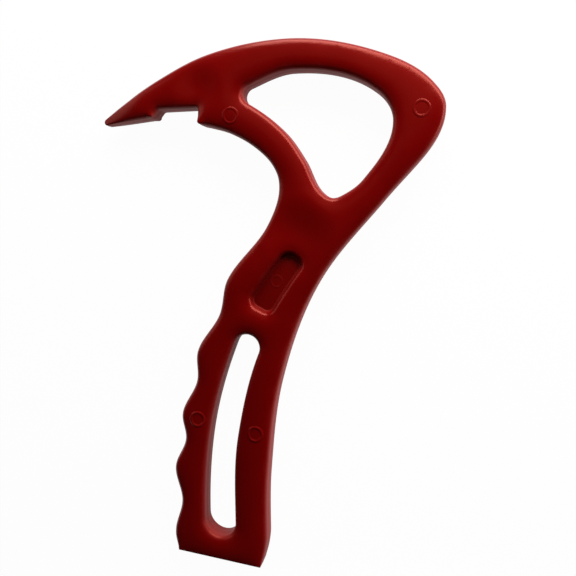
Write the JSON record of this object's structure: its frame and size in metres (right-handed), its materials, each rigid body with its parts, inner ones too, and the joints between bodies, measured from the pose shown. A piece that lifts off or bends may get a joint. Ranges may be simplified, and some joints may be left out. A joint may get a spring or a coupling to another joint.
{
  "type": "frame grip",
  "caption": "Flat moulded plastic hook with a curved finger-grooved handle, a hand slot, a windowed head and a notched beak, for prising up and lifting hive frames.",
  "frame": {"origin": "middle of the outline, on the back face that it lies on", "axes": "+X from the beak towards the heel, +Y from the butt towards the crown, +Z from the back face to the front face"},
  "size_m": [0.1318, 0.2036, 0.0123],
  "materials": {
    "moulded_red_plastic": "satin, as moulded"
  },
  "bodies": {
    "root": {"grip_moulding": "moulded_red_plastic"}
  },
  "joints": []
}
